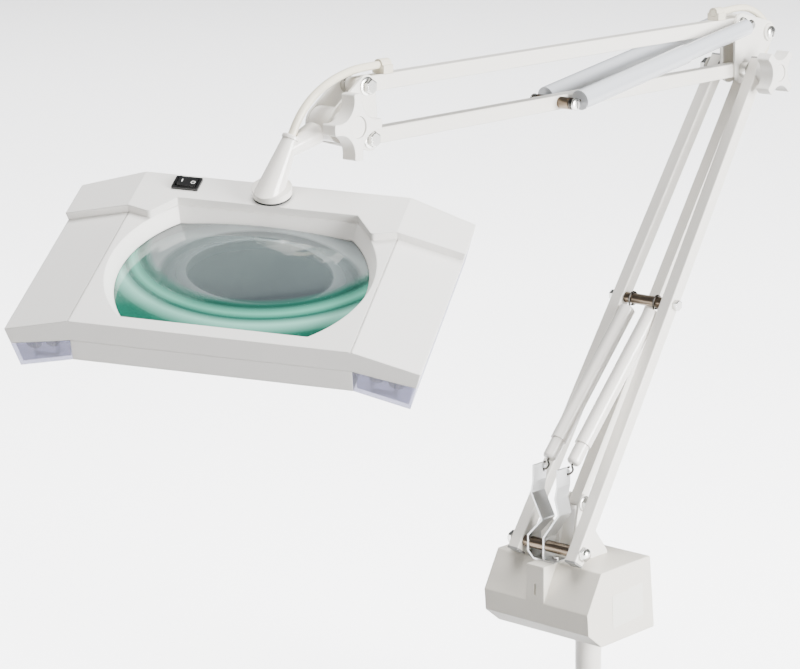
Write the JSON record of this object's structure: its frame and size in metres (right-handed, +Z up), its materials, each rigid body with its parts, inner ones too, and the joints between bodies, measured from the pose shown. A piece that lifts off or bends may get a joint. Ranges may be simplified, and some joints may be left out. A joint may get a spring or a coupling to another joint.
{
  "type": "magnifying lamp",
  "caption": "Spring-arm magnifying lamp: a wide lens and two fluorescent lamps in a folded-wing head on a double parallelogram arm with covered springs and a swivelling base.",
  "frame": {"origin": "centre of the post's lower end", "axes": "+Z up along the post; -X the way the upper arm reaches from the elbow; +Y along every arm pivot, to the arm's left"},
  "size_m": [0.7927, 0.3211, 0.5957],
  "materials": {
    "white_enamel": "gloss",
    "zinc_steel": "satin",
    "galvanised_sheet": "satin",
    "bronze_tube": "satin",
    "base_plastic": "matt",
    "head_plastic": "matt",
    "neck_plastic": "gloss",
    "knob_plastic": "satin",
    "sleeve_plastic": "gloss",
    "cover_plastic": "satin",
    "grey_cap_plastic": "matt",
    "black_plastic": "gloss",
    "inner_plastic": "matt",
    "clear_acrylic": "clear",
    "lens_glass": "clear",
    "tube_glass": "opal",
    "ivory_pvc": "satin",
    "dark_rubber": "matt",
    "spring_steel": "satin",
    "core_steel": "matt",
    "copper_coil": "satin",
    "label_paper": "matt",
    "reflector_sheet": "satin"
  },
  "bodies": {
    "post": {"post_tube": "white_enamel", "post_pin": "zinc_steel"},
    "base": {"housing_shell": "base_plastic", "housing_bottom_cover": "base_plastic", "swivel_bush": "inner_plastic", "base_screws": "zinc_steel", "ballast_core": "core_steel", "ballast_coil": "copper_coil", "terminal_block": "inner_plastic", "label_plate": "label_paper", "cable_gland": "black_plastic", "spring_anchors": "galvanised_sheet", "base_bolt": "zinc_steel", "base_bolt_spacers": "bronze_tube", "rear_bracket": "white_enamel", "rear_bar_lower_bolt": "zinc_steel"},
    "lower_arm": {"lower_arm_left_bar": "white_enamel", "lower_arm_right_bar": "white_enamel", "lower_arm_end_caps": "grey_cap_plastic", "crossbar_tube": "bronze_tube", "crossbar_bolt": "zinc_steel"},
    "lower_sleeves": {"lower_spring_sleeves": "sleeve_plastic", "lower_springs": "spring_steel"},
    "lower_cups": {"lower_spring_cups": "sleeve_plastic"},
    "rear_bar": {"rear_bar": "white_enamel"},
    "elbow": {"elbow_left_plate": "white_enamel", "elbow_right_plate": "white_enamel", "elbow_pivot_bolts": "zinc_steel", "elbow_main_bolt": "zinc_steel", "elbow_spacers": "zinc_steel"},
    "elbow_knob": {"elbow_knob": "knob_plastic"},
    "upper_arm": {"upper_arm_lower_bar": "white_enamel", "upper_spring_pin": "zinc_steel", "upper_pin_spacers": "bronze_tube", "upper_cover_fixed": "cover_plastic", "upper_springs": "spring_steel"},
    "upper_cover_stage": {"upper_cover_sliding": "cover_plastic"},
    "top_bar": {"upper_arm_top_bar": "white_enamel", "top_bar_cable_clips": "inner_plastic", "elbow_cable": "ivory_pvc", "head_cable": "ivory_pvc"},
    "head_bracket": {"head_bracket_plates": "white_enamel", "head_bracket_bolts": "zinc_steel", "head_bracket_spacers": "zinc_steel"},
    "head_knob": {"head_knob": "knob_plastic"},
    "knuckle": {"knuckle": "neck_plastic"},
    "neck": {"neck_casting": "neck_plastic", "neck_swivel_nut": "zinc_steel", "collar_gasket": "dark_rubber"},
    "head": {"head_upper_shell": "head_plastic", "head_lower_shell": "head_plastic", "head_screws": "zinc_steel", "corner_lenses": "clear_acrylic", "magnifying_lens": "lens_glass", "lens_retainer": "inner_plastic", "fluorescent_tubes": "tube_glass", "lampholders": "inner_plastic", "reflectors": "reflector_sheet", "switch_bezel": "black_plastic"},
    "rocker": {"rocker_switch": "black_plastic"}
  },
  "joints": [
    {"name": "base_swivel", "type": "hinge", "parent": "post", "child": "base", "pos_m": [0, 0, 0.1], "axis": [0, 0, 1], "continuous": true},
    {"name": "lower_arm_pivot", "type": "hinge", "parent": "base", "child": "lower_arm", "pos_m": [-0.052, 0, 0.175], "axis": [0, 1, 0], "range_deg": [-45, 4]},
    {"name": "rear_bar_pivot", "type": "hinge", "parent": "base", "child": "rear_bar", "pos_m": [-0.016, 0, 0.204], "axis": [0, 1, 0], "range_deg": [-48, 7]},
    {"name": "elbow_level", "type": "hinge", "parent": "lower_arm", "child": "elbow", "pos_m": [0.19764, 0, 0.54096], "axis": [0, 1, 0], "range_deg": [-7, 48]},
    {"name": "elbow_knob_turn", "type": "hinge", "parent": "elbow", "child": "elbow_knob", "pos_m": [0.19764, 0, 0.54096], "axis": [0, 1, 0], "continuous": true},
    {"name": "lower_spring_swing", "type": "hinge", "parent": "lower_arm", "child": "lower_sleeves", "pos_m": [0.07355, 0, 0.35906], "axis": [0, 1, 0], "range_deg": [-17, 3]},
    {"name": "lower_spring_slide", "type": "slide", "parent": "lower_sleeves", "child": "lower_cups", "axis": [-0.6908, 0, -0.7231], "range_m": [-0.011, 0.002], "deforming": ["lower_springs"]},
    {"name": "upper_arm_pivot", "type": "hinge", "parent": "elbow", "child": "upper_arm", "pos_m": [0.19764, 0, 0.54096], "axis": [0, 1, 0], "range_deg": [-40, 30], "deforming": ["upper_springs", "elbow_cable"]},
    {"name": "top_bar_pivot", "type": "hinge", "parent": "elbow", "child": "top_bar", "pos_m": [0.19444, 0, 0.57956], "axis": [0, 1, 0], "range_deg": [-44, 34]},
    {"name": "upper_cover_slide", "type": "slide", "parent": "upper_arm", "child": "upper_cover_stage", "axis": [0.985, 0, 0.1725], "range_m": [-0.02, 0.026]},
    {"name": "head_bracket_level", "type": "hinge", "parent": "upper_arm", "child": "head_bracket", "pos_m": [-0.26831, 0, 0.53446], "axis": [0, 1, 0], "range_deg": [-34, 44]},
    {"name": "head_knob_turn", "type": "hinge", "parent": "head_bracket", "child": "head_knob", "pos_m": [-0.29881, 0, 0.54795], "axis": [0, 1, 0], "continuous": true},
    {"name": "head_tilt", "type": "hinge", "parent": "head_bracket", "child": "knuckle", "pos_m": [-0.29881, 0, 0.54795], "axis": [0, 1, 0], "range_deg": [-30, 38], "deforming": ["head_cable"]},
    {"name": "neck_roll", "type": "hinge", "parent": "knuckle", "child": "neck", "pos_m": [-0.29881, 0, 0.54795], "axis": [-0.9521, 0, -0.3057], "range_deg": [-30, 38]},
    {"name": "head_swivel", "type": "hinge", "parent": "neck", "child": "head", "pos_m": [-0.35516, 0.00255, 0.50914], "axis": [-0.3254, -0.2554, 0.9104], "range_deg": [-80, 35]},
    {"name": "rocker_tilt", "type": "hinge", "parent": "head", "child": "rocker", "pos_m": [-0.38086, 0.06149, 0.50605], "axis": [0.8082, 0.4246, 0.408], "range_deg": [-14, 0]}
  ],
  "couplings": [
    {"joint": "rear_bar_pivot", "follows": "lower_arm_pivot", "ratio": 1},
    {"joint": "elbow_level", "follows": "lower_arm_pivot", "ratio": -1},
    {"joint": "lower_spring_swing", "follows": "lower_arm_pivot", "ratio": 0.357},
    {"joint": "lower_spring_slide", "follows": "lower_arm_pivot", "m_per_rad": 0.014},
    {"joint": "top_bar_pivot", "follows": "upper_arm_pivot", "ratio": 1},
    {"joint": "upper_cover_slide", "follows": "upper_arm_pivot", "m_per_rad": -0.036},
    {"joint": "head_bracket_level", "follows": "upper_arm_pivot", "ratio": -1}
  ]
}
